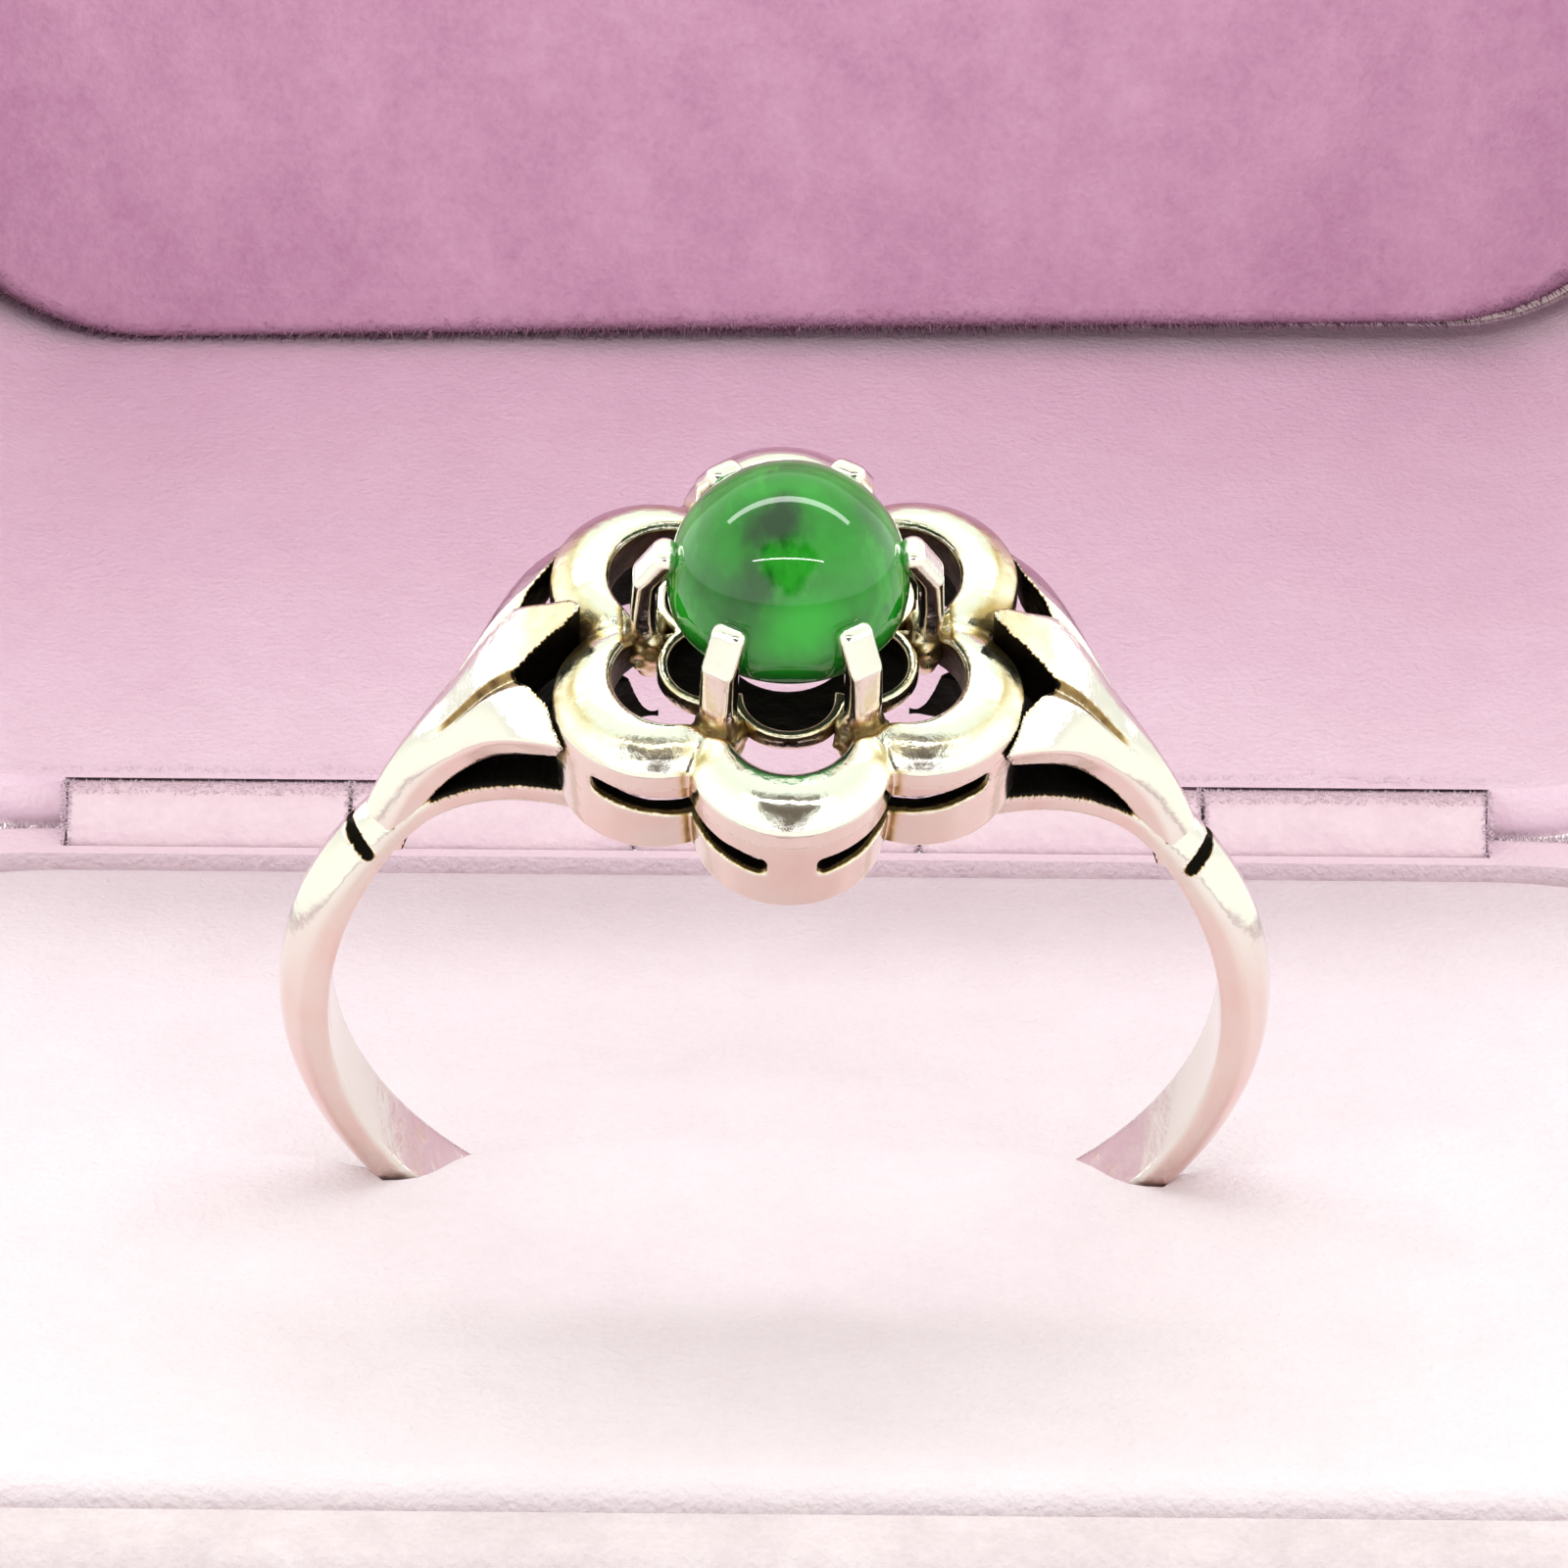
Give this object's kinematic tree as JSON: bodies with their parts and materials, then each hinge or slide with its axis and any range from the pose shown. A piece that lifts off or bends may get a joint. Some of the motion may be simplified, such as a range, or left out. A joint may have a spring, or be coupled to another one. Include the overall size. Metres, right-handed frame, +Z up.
{
  "type": "ring box",
  "caption": "Velvet-covered clamshell ring box standing open, with a slit cushion that holds a leaning flower-headed ring with a round domed stone.",
  "frame": {"origin": "middle of the felt underside that the box stands on", "axes": "+Z up, -Y out of the front of the box, the lid's hinge along X at the back"},
  "size_m": [0.0498, 0.0595, 0.0554],
  "materials": {
    "velvet_pink": "short flocked pile",
    "velvet_mauve": "short flocked pile",
    "felt": "pressed wool felt",
    "shell_plastic": "moulded, flocked knuckles",
    "foam": "open-cell foam",
    "card": "grey board",
    "steel": "drawn wire",
    "silver": "polished, oxidised in the recesses",
    "green_stone": "polished, cloudy translucent"
  },
  "bodies": {
    "base": {"base_cover": "velvet_pink", "pad_velvet": "velvet_pink", "base_felt": "felt", "base_shell": "shell_plastic", "pad_foam": "foam", "pad_card": "card", "pad_riser": "card", "hinge_pin": "steel", "ring_shank": "silver", "shoulder_left": "silver", "shoulder_right": "silver", "head_gallery": "silver", "flower_rim": "silver", "collet": "silver", "prongs": "silver", "cabochon": "green_stone"},
    "lid": {"lid_shell": "shell_plastic", "lid_cover": "velvet_pink", "lid_lining": "velvet_pink", "lid_panel": "velvet_mauve", "lid_foam": "foam", "lid_card": "card"}
  },
  "joints": [
    {"name": "lid_hinge", "type": "hinge", "parent": "base", "child": "lid", "pos_m": [0, 0.0175, 0.02], "axis": [1, 0, 0], "range_deg": [0, 90]}
  ]
}
